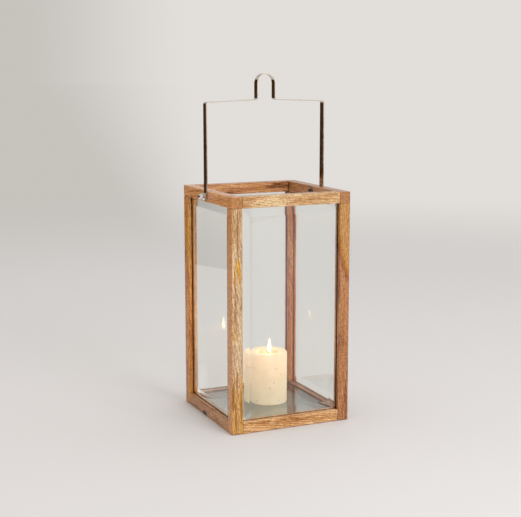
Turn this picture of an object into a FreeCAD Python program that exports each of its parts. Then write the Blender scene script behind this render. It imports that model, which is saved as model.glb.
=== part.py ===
import FreeCAD, Part
import math
import os

# A square candle lantern: four wooden posts and two rings of rails hold bevelled glass
# panes in grooves, a glass floor carries a pillar candle, the top is open, and a flat
# metal bail swings on two M6 screws through the side rails of the top ring.
#
# The origin is the middle of the footprint, on the surface the lantern stands on. +Z is
# up, +X runs to the right along the front, and -Y faces the viewer. Sizes are in mm.

# Wooden frame
WIDTH = 200.0
DEPTH = 200.0
BODY_HEIGHT = 366.0
POST = 18.0
TOP_RAIL_HEIGHT = 17.5
BOTTOM_RAIL_HEIGHT = 19.0
EASED_EDGE = 1.2

# Side panes, and the grooves that hold them
OUTER_LIP = 5.5
GROOVE_WIDTH = 4.5
GROOVE_DEPTH = 4.5
PANE_THICKNESS = 4.0
PANE_EDGE = 1.5
PANE_BEVEL = 18.0
PANE_CLEARANCE = 0.25

# Glass floor, its top a little below the top of the bottom rails
FLOOR_THICKNESS = 4.0
FLOOR_BELOW_RAIL = 2.0
FLOOR_GROOVE_DEPTH = 4.0
FLOOR_CLEARANCE = 0.25

# Hidden beech dowels that hold the frame together
DOWEL_RADIUS = 2.0
DOWEL_CLEARANCE = 0.05
DOWEL_WALL = 1.2
POST_DOWEL_DOWN = 14.0
RAIL_DOWEL_INTO_END = 12.0
RAIL_DOWEL_INTO_SIDE = 10.0

# Bail: one strip bent flat, its bar rising to the hanging loop in the middle
STRIP_WIDTH = 12.0
STRIP_THICKNESS = 1.5
STRAP_GAP = 0.3
BAR_END_TOP = 503.0
BAR_MIDDLE_TOP = 506.2
CORNER_BEND = 3.5
LOOP_TOP = 546.5
LOOP_WIDTH = 31.5
LOOP_FOOT_BEND = 3.5
EYE_CLEARANCE = 0.07

# Pivots: M6 pan-head screws with acorn nuts
SCREW_RADIUS = 2.95
SCREW_HOLE_CLEARANCE = 0.25
PIVOT_ABOVE_GROOVE = 4.25
HEAD_RADIUS = 6.0
HEAD_RIM = 1.6
HEAD_HEIGHT = 3.8
CROSS_LENGTH = 6.0
CROSS_WIDTH = 1.1
CROSS_DEPTH = 1.8
NUT_ACROSS_FLATS = 10.0
NUT_HEX_HEIGHT = 5.0
NUT_DOME_RADIUS = 4.7
NUT_HEIGHT = 11.5
NUT_BORE_DEPTH = 8.0
NUT_BORE_CLEARANCE = 0.05
SCREW_END_GAP = 1.0

# Pillar candle
CANDLE_X = 5.0
CANDLE_Y = -2.0
CANDLE_RADIUS = 30.0
CANDLE_HEIGHT = 84.0
CANDLE_RIM = 2.0
CANDLE_FOOT = 1.0
POOL_MOUTH_RADIUS = 21.0
POOL_FLOOR_RADIUS = 13.0
POOL_DEPTH = 5.0
WICK_RADIUS = 1.0
WICK_ABOVE_POOL = 9.0
WICK_CLEARANCE = 0.1
TAB_RADIUS = 9.0
TAB_THICKNESS = 0.6
TAB_COLLAR_RADIUS = 2.2
TAB_COLLAR_HEIGHT = 4.0
TAB_CLEARANCE = 0.2

# Places that follow from the sizes above
HALF_WIDTH = WIDTH / 2
HALF_DEPTH = DEPTH / 2
RING_BASE = BODY_HEIGHT - TOP_RAIL_HEIGHT
PIVOT_HEIGHT = RING_BASE + GROOVE_DEPTH + PIVOT_ABOVE_GROOVE
RING_DOWEL_HEIGHT = BODY_HEIGHT - DOWEL_WALL - DOWEL_RADIUS
POST_DOWEL_TOP = RING_DOWEL_HEIGHT - DOWEL_RADIUS - DOWEL_WALL
FRONT_DOWEL_HEIGHT = BOTTOM_RAIL_HEIGHT - GROOVE_DEPTH - DOWEL_WALL - DOWEL_RADIUS
SIDE_DOWEL_HEIGHT = DOWEL_WALL + DOWEL_RADIUS
FLOOR_TOP = BOTTOM_RAIL_HEIGHT - FLOOR_BELOW_RAIL
STRAP_INSIDE = HALF_WIDTH + STRAP_GAP
STRAP_MIDDLE = STRAP_INSIDE + STRIP_THICKNESS / 2
NUT_SEAT = STRAP_INSIDE + STRIP_THICKNESS + STRAP_GAP
CANDLE_TOP = FLOOR_TOP + CANDLE_HEIGHT
POOL_FLOOR = CANDLE_TOP - POOL_DEPTH

X_AXIS = FreeCAD.Vector(1, 0, 0)
Y_AXIS = FreeCAD.Vector(0, 1, 0)
Z_AXIS = FreeCAD.Vector(0, 0, 1)
ORIGIN = FreeCAD.Vector(0, 0, 0)

# Each side of the lantern is made facing the front, then turned this far about Z
SIDE_TURN = {"front": 0, "right": 90, "back": 180, "left": 270}


def block(x_low, x_high, y_low, y_high, z_low, z_high):
    """A box between two corners."""
    corner = FreeCAD.Vector(x_low, y_low, z_low)
    return Part.makeBox(x_high - x_low, y_high - y_low, z_high - z_low, corner)


def eased(piece):
    """The piece with every edge sanded round."""
    return piece.makeFillet(EASED_EDGE, piece.Edges)


def turned(piece, side):
    """A piece made for the front, turned to face another side."""
    copy = piece.copy()
    copy.rotate(ORIGIN, Z_AXIS, SIDE_TURN[side])
    return copy


def side_reach(side):
    """Half the lantern's size along a side, and how far out that side's face is."""
    if side in ("front", "back"):
        return HALF_WIDTH, HALF_DEPTH
    return HALF_DEPTH, HALF_WIDTH


def revolved(profile):
    """A solid of revolution about Z from (radius, height) points and arcs."""
    face = Part.Face(Part.Wire(profile))
    return face.revolve(ORIGIN, Z_AXIS, 360)


def at(radius, height):
    """A profile point."""
    return FreeCAD.Vector(radius, 0, height)


def line(start, end):
    """A straight edge of a profile or path."""
    return Part.LineSegment(start, end).toShape()


def arc(start, middle, end):
    """A round edge of a profile or path."""
    return Part.Arc(start, middle, end).toShape()


def pane_channel(side):
    """The space that one side's pane and its clearance take out of the wood."""
    half_across, out = side_reach(side)
    reach = half_across - POST + GROOVE_DEPTH
    y_low = OUTER_LIP - out
    z_low = BOTTOM_RAIL_HEIGHT - GROOVE_DEPTH
    z_high = RING_BASE + GROOVE_DEPTH
    return turned(block(-reach, reach, y_low, y_low + GROOVE_WIDTH, z_low, z_high), side)


def floor_channel():
    """The groove round the inside of the bottom rails that holds the glass floor."""
    x_reach = HALF_WIDTH - POST + FLOOR_GROOVE_DEPTH
    y_reach = HALF_DEPTH - POST + FLOOR_GROOVE_DEPTH
    z_high = FLOOR_TOP + FLOOR_CLEARANCE
    return block(-x_reach, x_reach, -y_reach, y_reach, FLOOR_TOP - FLOOR_THICKNESS, z_high)


def corner_signs():
    """The four corners as signs of X and Y."""
    return [(x_sign, y_sign) for x_sign in (-1, 1) for y_sign in (-1, 1)]


def post_centre(x_sign, y_sign):
    """The middle of a post in plan."""
    return x_sign * (HALF_WIDTH - POST / 2), y_sign * (HALF_DEPTH - POST / 2)


def dowel(start, direction, length, clearance=0.0):
    """A dowel, or the hole for one when it is given a clearance."""
    return Part.makeCylinder(DOWEL_RADIUS + clearance, length, start, direction)


def post_dowels(clearance=0.0):
    """Upright dowels from the post tops into the side rails of the ring."""
    dowels = []
    for x_sign, y_sign in corner_signs():
        x, y = post_centre(x_sign, y_sign)
        low = RING_BASE - POST_DOWEL_DOWN - clearance
        length = POST_DOWEL_TOP + clearance - low
        dowels.append(dowel(FreeCAD.Vector(x, y, low), Z_AXIS, length, clearance))
    return dowels


def end_dowels(shoulder, across, height, along_x, clearance=0.0):
    """Level dowels through the shoulders where rail ends meet the piece beside them."""
    dowels = []
    for x_sign, y_sign in corner_signs():
        length = RAIL_DOWEL_INTO_END + RAIL_DOWEL_INTO_SIDE + 2 * clearance
        inner = shoulder - RAIL_DOWEL_INTO_END - clearance
        if along_x:
            start = FreeCAD.Vector(x_sign * inner, y_sign * across, height)
            direction = X_AXIS * x_sign
        else:
            start = FreeCAD.Vector(x_sign * across, y_sign * inner, height)
            direction = Y_AXIS * y_sign
        dowels.append(dowel(start, direction, length, clearance))
    return dowels


def ring_dowels(clearance=0.0):
    """Dowels from the front and back rails of the ring into its side rails."""
    x_shoulder = HALF_WIDTH - POST
    y_across = HALF_DEPTH - POST / 2
    return end_dowels(x_shoulder, y_across, RING_DOWEL_HEIGHT, True, clearance)


def base_dowels(clearance=0.0):
    """Dowels from the bottom rails into the posts, at two heights so that they miss."""
    x_shoulder = HALF_WIDTH - POST
    y_shoulder = HALF_DEPTH - POST
    x_across = HALF_WIDTH - POST / 2
    y_across = HALF_DEPTH - POST / 2
    front_and_back = end_dowels(x_shoulder, y_across, FRONT_DOWEL_HEIGHT, True, clearance)
    sides = end_dowels(y_shoulder, x_across, SIDE_DOWEL_HEIGHT, False, clearance)
    return front_and_back + sides


def frame_cutters():
    """Everything that is cut out of the wooden frame: pane grooves and dowel holes."""
    holes = post_dowels(DOWEL_CLEARANCE) + ring_dowels(DOWEL_CLEARANCE)
    holes += base_dowels(DOWEL_CLEARANCE)
    return [pane_channel(side) for side in SIDE_TURN] + holes


def pivot_hole():
    """The clearance hole for both pivot screws, across the whole ring."""
    radius = SCREW_RADIUS + SCREW_HOLE_CLEARANCE
    start = FreeCAD.Vector(-HALF_WIDTH, 0, PIVOT_HEIGHT)
    return Part.makeCylinder(radius, WIDTH, start, X_AXIS)


def post(x_sign, y_sign):
    """A corner post, from the floor to the underside of the top ring."""
    x, y = post_centre(x_sign, y_sign)
    half = POST / 2
    blank = eased(block(x - half, x + half, y - half, y + half, 0, RING_BASE))
    return blank.cut(frame_cutters())


def bottom_rail(side):
    """A bottom rail between two posts, grooved for its pane and the glass floor."""
    half_across, out = side_reach(side)
    reach = half_across - POST
    blank = eased(block(-reach, reach, -out, POST - out, 0, BOTTOM_RAIL_HEIGHT))
    return turned(blank, side).cut(frame_cutters() + [floor_channel()])


def side_top_rail(side):
    """A side rail of the top ring, which runs the full depth and holds a pivot."""
    half_across, out = side_reach(side)
    blank = eased(block(-half_across, half_across, -out, POST - out, RING_BASE, BODY_HEIGHT))
    return turned(blank, side).cut(frame_cutters() + [pivot_hole()])


def end_top_rail(side):
    """A front or back rail of the top ring, between its side rails."""
    half_across, out = side_reach(side)
    reach = half_across - POST
    blank = eased(block(-reach, reach, -out, POST - out, RING_BASE, BODY_HEIGHT))
    return turned(blank, side).cut(frame_cutters())


def upright_rectangle(half_across, z_low, z_high, y):
    """A closed wire facing along Y."""
    corners = [(-half_across, z_low), (half_across, z_low), (half_across, z_high), (-half_across, z_high)]
    points = [FreeCAD.Vector(x, y, z) for x, z in corners]
    return Part.makePolygon(points + points[:1])


def pane(side):
    """A side pane, thinned by a wide bevel all round its outer face."""
    half_across, out = side_reach(side)
    reach = half_across - POST + GROOVE_DEPTH - PANE_CLEARANCE
    z_low = BOTTOM_RAIL_HEIGHT - GROOVE_DEPTH
    z_high = RING_BASE + GROOVE_DEPTH - PANE_CLEARANCE
    y_back = OUTER_LIP + GROOVE_WIDTH - PANE_CLEARANCE - out
    y_edge = y_back - PANE_EDGE
    y_front = y_back - PANE_THICKNESS
    sheet = block(-reach, reach, y_edge, y_back, z_low, z_high)
    foot = upright_rectangle(reach, z_low, z_high, y_edge)
    inset = (reach - PANE_BEVEL, z_low + PANE_BEVEL, z_high - PANE_BEVEL)
    raised = Part.makeLoft([foot, upright_rectangle(*inset, y_front)], True, True)
    return turned(sheet.fuse(raised).removeSplitter(), side)


def floor_pane():
    """The glass floor, its corners clipped to clear the posts."""
    x_edge = HALF_WIDTH - POST + FLOOR_GROOVE_DEPTH - FLOOR_CLEARANCE
    y_edge = HALF_DEPTH - POST + FLOOR_GROOVE_DEPTH - FLOOR_CLEARANCE
    clip = 2 * FLOOR_GROOVE_DEPTH - FLOOR_CLEARANCE
    points = []
    for x_sign, y_sign in ((-1, -1), (1, -1), (1, 1), (-1, 1)):
        beside = FreeCAD.Vector(x_sign * x_edge, y_sign * (y_edge - clip), 0)
        along = FreeCAD.Vector(x_sign * (x_edge - clip), y_sign * y_edge, 0)
        points += [beside, along] if x_sign == y_sign else [along, beside]
    outline = Part.Face(Part.makePolygon(points + points[:1]))
    plate = outline.extrude(Z_AXIS * FLOOR_THICKNESS)
    plate.translate(Z_AXIS * (FLOOR_TOP - FLOOR_THICKNESS))
    return plate


def bend(before, corner, after, radius):
    """The start, middle and end of the tangent arc that rounds a corner of a path."""
    back = (before - corner).normalize()
    ahead = (after - corner).normalize()
    half_angle = back.getAngle(ahead) / 2
    reach = radius / math.tan(half_angle)
    inward = (back + ahead).normalize()
    middle = corner + inward * (radius / math.sin(half_angle) - radius)
    return corner + back * reach, middle, corner + ahead * reach


def bail_path():
    """The middle line of the bail's strip, from the left pivot to the right one."""
    half_strip = STRIP_THICKNESS / 2
    leg = LOOP_WIDTH / 2 - half_strip
    loop_centre = LOOP_TOP - half_strip - leg
    half_path = [
        (STRAP_MIDDLE, PIVOT_HEIGHT, 0),
        (STRAP_MIDDLE, BAR_END_TOP - half_strip, CORNER_BEND),
        (leg, BAR_MIDDLE_TOP - half_strip, LOOP_FOOT_BEND),
        (leg, loop_centre, 0),
    ]
    corners = [(FreeCAD.Vector(-x, 0, z), radius) for x, z, radius in half_path]
    last = corners[0][0]
    rising = []
    for (before, _), (corner, radius), (after, _) in zip(corners, corners[1:], corners[2:]):
        start, middle, end = bend(before, corner, after, radius)
        rising += [line(last, start), arc(start, middle, end)]
        last = end
    loop_side = corners[-1][0]
    rising.append(line(last, loop_side))
    loop_crown = FreeCAD.Vector(0, 0, loop_centre + leg)
    crown = arc(loop_side, loop_crown, FreeCAD.Vector(leg, 0, loop_centre))
    falling = [edge.mirror(ORIGIN, X_AXIS) for edge in reversed(rising)]
    return Part.Wire(rising + [crown] + falling)


def strip_section():
    """The strip's cross-section at the left pivot, where the bail's path begins."""
    half_width = STRIP_WIDTH / 2
    half_strip = STRIP_THICKNESS / 2
    corners = [(-1, -1), (1, -1), (1, 1), (-1, 1)]
    points = []
    for x_sign, y_sign in corners:
        x = x_sign * half_strip - STRAP_MIDDLE
        points.append(FreeCAD.Vector(x, y_sign * half_width, PIVOT_HEIGHT))
    return Part.makePolygon(points + points[:1])


def bail():
    """The handle: the bent strip, its ends rounded and drilled for the pivots."""
    sweep = Part.BRepOffsetAPI.MakePipeShell(bail_path())
    sweep.setBiNormalMode(Y_AXIS)
    sweep.add(strip_section())
    sweep.build()
    sweep.makeSolid()
    handle = sweep.shape()
    for x_sign in (-1, 1):
        start = FreeCAD.Vector(x_sign * STRAP_INSIDE, 0, PIVOT_HEIGHT)
        end = Part.makeCylinder(STRIP_WIDTH / 2, STRIP_THICKNESS, start, X_AXIS * x_sign)
        handle = handle.fuse(end)
    handle = handle.removeSplitter()
    for x_sign in (-1, 1):
        hole_start = FreeCAD.Vector(x_sign * HALF_WIDTH, 0, PIVOT_HEIGHT)
        depth = NUT_SEAT - HALF_WIDTH
        radius = SCREW_RADIUS + EYE_CLEARANCE
        handle = handle.cut(Part.makeCylinder(radius, depth, hole_start, X_AXIS * x_sign))
    return handle


def on_pivot(piece, x_sign, distance):
    """A piece made on Z, laid on the pivot axis with +Z pointing out of the lantern."""
    copy = piece.copy()
    copy.rotate(ORIGIN, Y_AXIS, 90 * x_sign)
    copy.translate(FreeCAD.Vector(x_sign * distance, 0, PIVOT_HEIGHT))
    return copy


def pivot_screw(x_sign):
    """An M6 pan-head screw, its head on the ring's inner face, out through the bail."""
    seat = HALF_WIDTH - POST
    length = NUT_SEAT + NUT_BORE_DEPTH - SCREW_END_GAP - seat
    crown_height = HEAD_HEIGHT - HEAD_RIM
    crown_radius = (HEAD_RADIUS**2 + crown_height**2) / (2 * crown_height)
    mid_radius = HEAD_RADIUS / 2
    mid_height = math.sqrt(crown_radius**2 - mid_radius**2) - (crown_radius - HEAD_HEIGHT)
    crown = arc(at(HEAD_RADIUS, -HEAD_RIM), at(mid_radius, -mid_height), at(0, -HEAD_HEIGHT))
    profile = [
        line(at(0, length), at(SCREW_RADIUS, length)),
        line(at(SCREW_RADIUS, length), at(SCREW_RADIUS, 0)),
        line(at(SCREW_RADIUS, 0), at(HEAD_RADIUS, 0)),
        line(at(HEAD_RADIUS, 0), at(HEAD_RADIUS, -HEAD_RIM)),
        crown,
        line(at(0, -HEAD_HEIGHT), at(0, length)),
    ]
    screw = revolved(profile)
    half_long = CROSS_LENGTH / 2
    half_wide = CROSS_WIDTH / 2
    low = -HEAD_HEIGHT
    high = CROSS_DEPTH - HEAD_HEIGHT
    slots = [
        block(-half_long, half_long, -half_wide, half_wide, low, high),
        block(-half_wide, half_wide, -half_long, half_long, low, high),
    ]
    return on_pivot(screw.cut(slots), x_sign, seat)


def acorn_nut(x_sign):
    """An M6 acorn nut that holds the bail's eye on the screw."""
    corner_radius = NUT_ACROSS_FLATS / math.sqrt(3)
    corners = []
    for step in range(6):
        angle = math.radians(60 * step)
        corners.append(FreeCAD.Vector(corner_radius * math.cos(angle), corner_radius * math.sin(angle), 0))
    hexagon = Part.Face(Part.makePolygon(corners + corners[:1]))
    hexagon = hexagon.extrude(Z_AXIS * NUT_HEX_HEIGHT)
    flat_radius = NUT_ACROSS_FLATS / 2
    slope = corner_radius - flat_radius
    chamfer = [
        line(at(0, 0), at(flat_radius, 0)),
        line(at(flat_radius, 0), at(corner_radius, slope)),
        line(at(corner_radius, slope), at(corner_radius, NUT_HEX_HEIGHT - slope)),
        line(at(corner_radius, NUT_HEX_HEIGHT - slope), at(flat_radius, NUT_HEX_HEIGHT)),
        line(at(flat_radius, NUT_HEX_HEIGHT), at(0, NUT_HEX_HEIGHT)),
        line(at(0, NUT_HEX_HEIGHT), at(0, 0)),
    ]
    shoulder = NUT_HEIGHT - NUT_DOME_RADIUS
    half_turn = NUT_DOME_RADIUS / math.sqrt(2)
    dome = [
        line(at(0, 0), at(NUT_DOME_RADIUS, 0)),
        line(at(NUT_DOME_RADIUS, 0), at(NUT_DOME_RADIUS, shoulder)),
        arc(at(NUT_DOME_RADIUS, shoulder), at(half_turn, shoulder + half_turn), at(0, NUT_HEIGHT)),
        line(at(0, NUT_HEIGHT), at(0, 0)),
    ]
    body = hexagon.common(revolved(chamfer)).fuse(revolved(dome))
    bore = Part.makeCylinder(SCREW_RADIUS + NUT_BORE_CLEARANCE, NUT_BORE_DEPTH)
    return on_pivot(body.cut(bore), x_sign, NUT_SEAT)


def on_floor(piece):
    """A piece of the candle made on Z, stood in its place on the glass floor."""
    copy = piece.copy()
    copy.translate(FreeCAD.Vector(CANDLE_X, CANDLE_Y, FLOOR_TOP))
    return copy


def candle_body():
    """The wax: a pillar with a shallow melt pool, bored for its wick and wick tab."""
    top = CANDLE_HEIGHT
    pool = CANDLE_HEIGHT - POOL_DEPTH
    bore = WICK_RADIUS + WICK_CLEARANCE
    rim_mid = CANDLE_RIM * (1 - 1 / math.sqrt(2))
    rim_start = at(CANDLE_RADIUS, top - CANDLE_RIM)
    rim_end = at(CANDLE_RADIUS - CANDLE_RIM, top)
    slope_mid = at((POOL_MOUTH_RADIUS + POOL_FLOOR_RADIUS) / 2, pool + POOL_DEPTH * 0.3)
    profile = [
        line(at(bore, 0), at(CANDLE_RADIUS - CANDLE_FOOT, 0)),
        line(at(CANDLE_RADIUS - CANDLE_FOOT, 0), at(CANDLE_RADIUS, CANDLE_FOOT)),
        line(at(CANDLE_RADIUS, CANDLE_FOOT), rim_start),
        arc(rim_start, at(CANDLE_RADIUS - rim_mid, top - rim_mid), rim_end),
        line(rim_end, at(POOL_MOUTH_RADIUS, top)),
        arc(at(POOL_MOUTH_RADIUS, top), slope_mid, at(POOL_FLOOR_RADIUS, pool)),
        line(at(POOL_FLOOR_RADIUS, pool), at(bore, pool)),
        line(at(bore, pool), at(bore, 0)),
    ]
    disc_pocket = Part.makeCylinder(TAB_RADIUS + TAB_CLEARANCE, TAB_THICKNESS + TAB_CLEARANCE)
    collar_top = TAB_THICKNESS + TAB_COLLAR_HEIGHT + TAB_CLEARANCE
    collar_pocket = Part.makeCylinder(TAB_COLLAR_RADIUS + TAB_CLEARANCE, collar_top)
    return on_floor(revolved(profile).cut([disc_pocket, collar_pocket]))


def wick_tab():
    """The pressed metal tab in the candle's foot, with a collar round the wick."""
    disc = Part.makeCylinder(TAB_RADIUS, TAB_THICKNESS)
    collar = Part.makeCylinder(TAB_COLLAR_RADIUS, TAB_THICKNESS + TAB_COLLAR_HEIGHT)
    hole = Part.makeCylinder(WICK_RADIUS, TAB_THICKNESS + TAB_COLLAR_HEIGHT)
    return on_floor(disc.fuse(collar).cut(hole))


def wick():
    """The cotton wick, from the tab to above the melt pool."""
    length = CANDLE_HEIGHT - POOL_DEPTH + WICK_ABOVE_POOL
    return on_floor(Part.makeCylinder(WICK_RADIUS, length))


def build():
    """Every piece of the lantern by the name of its node."""
    pieces = {}
    for x_sign, x_name in ((-1, "left"), (1, "right")):
        for y_sign, y_name in ((-1, "front"), (1, "back")):
            pieces[f"post_{y_name}_{x_name}"] = post(x_sign, y_sign)
    for side in SIDE_TURN:
        pieces[f"bottom_rail_{side}"] = bottom_rail(side)
        pieces[f"pane_{side}"] = pane(side)
    for side in ("left", "right"):
        pieces[f"top_rail_{side}"] = side_top_rail(side)
    for side in ("front", "back"):
        pieces[f"top_rail_{side}"] = end_top_rail(side)
    pieces["floor_pane"] = floor_pane()
    pieces["post_dowels"] = Part.makeCompound(post_dowels())
    pieces["ring_dowels"] = Part.makeCompound(ring_dowels())
    pieces["base_dowels"] = Part.makeCompound(base_dowels())
    pieces["handle"] = bail()
    for x_sign, x_name in ((-1, "left"), (1, "right")):
        pieces[f"pivot_screw_{x_name}"] = pivot_screw(x_sign)
        pieces[f"acorn_nut_{x_name}"] = acorn_nut(x_sign)
    pieces["candle_wax"] = candle_body()
    pieces["wick"] = wick()
    pieces["wick_tab"] = wick_tab()
    return pieces


os.makedirs("parts", exist_ok=True)
for name, piece in build().items():
    piece.exportStep(f"parts/{name}.step")
    size = piece.BoundBox
    lengths = f"{size.XLength:.1f} x {size.YLength:.1f} x {size.ZLength:.1f} mm"
    print(f"{name}: {lengths}, {len(piece.Solids)} solid(s)")
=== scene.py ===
"""A hanging candle lantern in mango wood and bevelled glass, with a lit pillar candle.

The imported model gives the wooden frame, the glass, the bail and the fasteners, and this
script gives them their finishes. It makes the candle, its wick and its flame as finished
pieces, and sets the lantern on a pale studio floor.
"""

import logging
import math
from collections.abc import Callable
from dataclasses import dataclass
from enum import Enum
from functools import partial
from typing import Any

import bmesh
import bpy
from mathutils import Euler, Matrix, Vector

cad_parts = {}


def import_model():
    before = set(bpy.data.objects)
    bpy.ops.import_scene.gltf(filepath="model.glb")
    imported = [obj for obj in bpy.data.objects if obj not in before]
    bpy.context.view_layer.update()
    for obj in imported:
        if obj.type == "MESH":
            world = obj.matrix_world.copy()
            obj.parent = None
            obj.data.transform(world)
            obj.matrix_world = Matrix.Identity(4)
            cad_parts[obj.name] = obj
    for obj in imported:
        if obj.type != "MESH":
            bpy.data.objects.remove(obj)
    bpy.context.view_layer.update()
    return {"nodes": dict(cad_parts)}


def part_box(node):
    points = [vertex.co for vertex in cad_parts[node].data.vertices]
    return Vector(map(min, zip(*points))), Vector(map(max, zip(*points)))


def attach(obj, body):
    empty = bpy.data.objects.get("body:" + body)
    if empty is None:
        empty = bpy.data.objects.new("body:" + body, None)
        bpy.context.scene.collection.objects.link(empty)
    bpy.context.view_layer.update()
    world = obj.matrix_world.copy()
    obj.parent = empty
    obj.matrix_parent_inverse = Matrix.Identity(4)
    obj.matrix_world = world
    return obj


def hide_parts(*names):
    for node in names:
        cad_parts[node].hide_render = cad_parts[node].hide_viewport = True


LOG = logging.getLogger("lantern")

MM = 0.001
# Points closer than this are one point.
MERGE = 0.001 * MM
WHITE = "ffffff"

AddNode = Callable[..., bpy.types.NodeSocket]


class Along(Enum):
    """The direction that a piece's grain runs in."""

    X = 0
    Y = 1
    Z = 2


def linear(colour: str, alpha: float = 1.0) -> tuple[float, float, float, float]:
    """Turns an sRGB hex colour into the linear values that a shader takes.

    Args:
        colour: Six hex digits, with or without a leading hash.
        alpha: The fourth value, passed through.

    Returns:
        Linear red, green and blue, and alpha.
    """
    digits = colour.lstrip("#")
    values = [int(digits[i : i + 2], 16) / 255 for i in (0, 2, 4)]
    out = [v / 12.92 if v <= 0.04045 else ((v + 0.055) / 1.055) ** 2.4 for v in values]
    return out[0], out[1], out[2], alpha


def add_node(
    tree: bpy.types.NodeTree,
    kind: str,
    inputs: dict[str | int, Any] | None = None,
    output: str | None = None,
    stops: tuple[tuple[float, str], ...] = (),
    **settings: Any,
) -> bpy.types.NodeSocket | None:
    """Adds one node with its settings, its inputs and its colour stops.

    Args:
        tree: The node tree to add to.
        kind: The node's type, such as ShaderNodeTexNoise.
        inputs: A socket to link, or a plain value, by input name or index.
        output: The output that is wanted. Without it, the first that is in use.
        stops: Places and sRGB colours of a colour ramp, in order.
        settings: The node's own properties.

    Returns:
        The output, or None where the node has none.
    """
    node = tree.nodes.new(kind)
    for name, value in settings.items():
        setattr(node, name, value)
    for name, value in (inputs or {}).items():
        if isinstance(value, bpy.types.NodeSocket):
            tree.links.new(value, node.inputs[name])
        else:
            node.inputs[name].default_value = value
    if stops:
        elements = node.color_ramp.elements
        while len(elements) < len(stops):
            elements.new(1.0)
        for element, (place, colour) in zip(elements, stops):
            element.position = place
            element.color = linear(colour)
    if output:
        return node.outputs[output]
    return next((socket for socket in node.outputs if socket.enabled), None)


def new_material(name: str) -> tuple[bpy.types.Material, AddNode]:
    """Starts a material with an empty node tree.

    Args:
        name: What the material is.

    Returns:
        The material, and the function that adds nodes to it.
    """
    material = bpy.data.materials.new(name)
    material.use_nodes = True
    material.node_tree.nodes.clear()
    return material, partial(add_node, material.node_tree)


def put_on(piece: bpy.types.Object, material: bpy.types.Material) -> None:
    """Puts one material on every slot of a CAD node's object.

    Args:
        piece: The node's object.
        material: Its finish.
    """
    for slot in piece.material_slots:
        slot.material = material
    if not piece.material_slots:
        piece.data.materials.append(material)
    LOG.info("%s: %s", piece.name, material.name)


@dataclass(frozen=True)
class Mark:
    """A patch in a piece of wood, such as a knot or a tongue of golden sapwood.

    It is an ellipsoid, in metres, so the faces of a piece cut it as saws cut the tree.
    """

    place: tuple[float, float, float]
    reach: tuple[float, float, float]
    colour: str
    rim: str | None = None
    softness: float = 0.12
    wander: float = 0.35
    wander_width: float = 7 * MM


@dataclass(frozen=True)
class Tones:
    """The four colours that one cut of wood is mixed from."""

    dark: str
    middle: str
    light: str
    streak: str


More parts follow.
